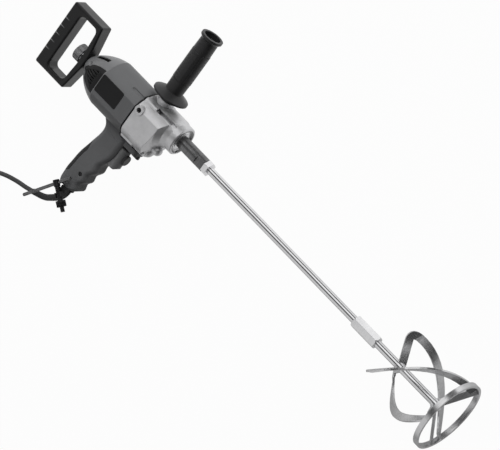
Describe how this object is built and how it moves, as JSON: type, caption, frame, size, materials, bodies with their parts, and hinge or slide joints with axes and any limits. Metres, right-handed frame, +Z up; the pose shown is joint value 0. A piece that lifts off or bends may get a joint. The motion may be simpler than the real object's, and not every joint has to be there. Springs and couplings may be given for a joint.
{
  "type": "mixing drill",
  "caption": "Corded mixing drill lying on its side, with a pistol grip, a side handle, a rear loop handle and a long rod that carries a spiral paddle inside a ring.",
  "frame": {"origin": "on the floor under the middle of the tool's box, without its cord", "axes": "+X runs along the spindle to the paddle, raised by the tool's lie on the floor, +Y to the side handle and +Z up, which is the tool's right side"},
  "size_m": [0.9811, 0.4406, 0.1202],
  "materials": {
    "housing_grey": "fine texture",
    "black_plastic": "satin",
    "case_aluminium": "sand cast",
    "dark_steel": "blackened",
    "bright_steel": "machined",
    "chrome": "polished plating",
    "black_rubber": "matte",
    "cord_rubber": "matte",
    "copper": "varnished",
    "bronze": "sintered",
    "carbon": "matte",
    "knob_grey": "satin"
  },
  "bodies": {
    "drill": {"motor_housing": "housing_grey", "grip_cover": "housing_grey", "rear_cover": "housing_grey", "right_vent_grille": "black_plastic", "left_vent_grille": "black_plastic", "brush_bridge": "black_plastic", "switch_body": "black_plastic", "cord_clamp": "black_plastic", "plug": "black_plastic", "gear_case": "case_aluminium", "bearing_plate": "case_aluminium", "retaining_ring": "dark_steel", "grip_screw": "dark_steel", "rear_cover_screws": "dark_steel", "gear_case_screws": "dark_steel", "stator_core": "dark_steel", "spindle_bearing": "bright_steel", "armature_front_bearing": "bright_steel", "armature_rear_bearing": "bright_steel", "rear_handle_stud": "bright_steel", "cord_boot": "black_rubber", "key_holder": "black_rubber", "cord_tie": "black_rubber", "grip_pad": "black_rubber", "cord": "cord_rubber", "cord_coil": "cord_rubber", "field_coils": "copper", "spindle_bush": "bronze", "intermediate_bushes": "bronze", "brush_holders": "bronze", "plug_pins": "bronze", "carbon_brushes": "carbon"},
    "spindle_train": {"mixing_rod": "chrome", "rod_coupling": "chrome", "paddle_shaft": "chrome", "paddle_blade_1": "chrome", "paddle_blade_2": "chrome", "paddle_blade_3": "chrome", "ring_spokes": "chrome", "paddle_ring": "chrome", "spindle": "dark_steel", "output_gear": "bright_steel"},
    "intermediate": {"intermediate_shaft": "bright_steel", "intermediate_gear": "bright_steel"},
    "armature": {"armature_shaft": "bright_steel", "armature_core": "dark_steel", "armature_windings": "copper", "commutator": "copper", "cooling_fan": "black_plastic"},
    "trigger": {"trigger": "black_plastic"},
    "speed_dial": {"speed_dial": "black_plastic"},
    "reverse_lever": {"reverse_lever": "black_plastic"},
    "lock_button": {"lock_button": "black_plastic"},
    "rear_handle": {"rear_handle": "black_plastic"},
    "rear_handle_knob": {"rear_handle_knob": "knob_grey", "knob_washer": "bright_steel"},
    "side_handle": {"side_handle": "black_plastic", "side_handle_stud": "bright_steel"},
    "chuck_key": {"chuck_key": "dark_steel", "chuck_key_bar": "bright_steel"}
  },
  "joints": [
    {"name": "spindle_spin", "type": "hinge", "parent": "drill", "child": "spindle_train", "pos_m": [-0.15805, 0.04965, 0.04133], "axis": [0.9995, 0, 0.0322], "continuous": true},
    {"name": "intermediate_spin", "type": "hinge", "parent": "drill", "child": "intermediate", "pos_m": [-0.19751, 0.03768, 0.02402], "axis": [0.9995, 0, 0.0322], "continuous": true},
    {"name": "armature_spin", "type": "hinge", "parent": "drill", "child": "armature", "pos_m": [-0.27799, 0.03265, 0.03746], "axis": [0.9995, 0, 0.0322], "continuous": true},
    {"name": "trigger_slide", "type": "slide", "parent": "drill", "child": "trigger", "axis": [-0.9995, 0, -0.0322], "range_m": [0, 0.007], "stiffness_N_per_m": 1200},
    {"name": "speed_dial_turn", "type": "hinge", "parent": "trigger", "child": "speed_dial", "pos_m": [-0.21602, -0.03635, 0.03946], "axis": [0.9995, 0, 0.0322], "range_deg": [0, 300]},
    {"name": "reverse_lever_turn", "type": "hinge", "parent": "drill", "child": "reverse_lever", "pos_m": [-0.21102, -0.01635, 0.03962], "axis": [0, 1, 0], "range_deg": [-15, 15]},
    {"name": "lock_button_push", "type": "slide", "parent": "drill", "child": "lock_button", "axis": [-0.0322, 0, 0.9995], "range_m": [0, 0.0025], "stiffness_N_per_m": 800},
    {"name": "rear_handle_turn", "type": "hinge", "parent": "drill", "child": "rear_handle", "pos_m": [-0.36294, 0.03265, 0.03472], "axis": [0.9995, 0, 0.0322], "range_deg": [-90, 90]},
    {"name": "rear_handle_knob_turn", "type": "hinge", "parent": "drill", "child": "rear_handle_knob", "pos_m": [-0.37594, 0.03265, 0.0343], "axis": [0.9995, 0, 0.0322], "range_deg": [0, 360]},
    {"name": "side_handle_turn", "type": "hinge", "parent": "drill", "child": "side_handle", "pos_m": [-0.21802, 0.10965, 0.0394], "axis": [0, 1, 0], "range_deg": [0, 360]},
    {"name": "chuck_key_lift", "type": "slide", "parent": "drill", "child": "chuck_key", "axis": [-0.0322, 0, 0.9995], "range_m": [0, 0.04]}
  ],
  "couplings": [
    {"joint": "intermediate_spin", "follows": "spindle_spin", "ratio": -4},
    {"joint": "armature_spin", "follows": "spindle_spin", "ratio": 17}
  ]
}
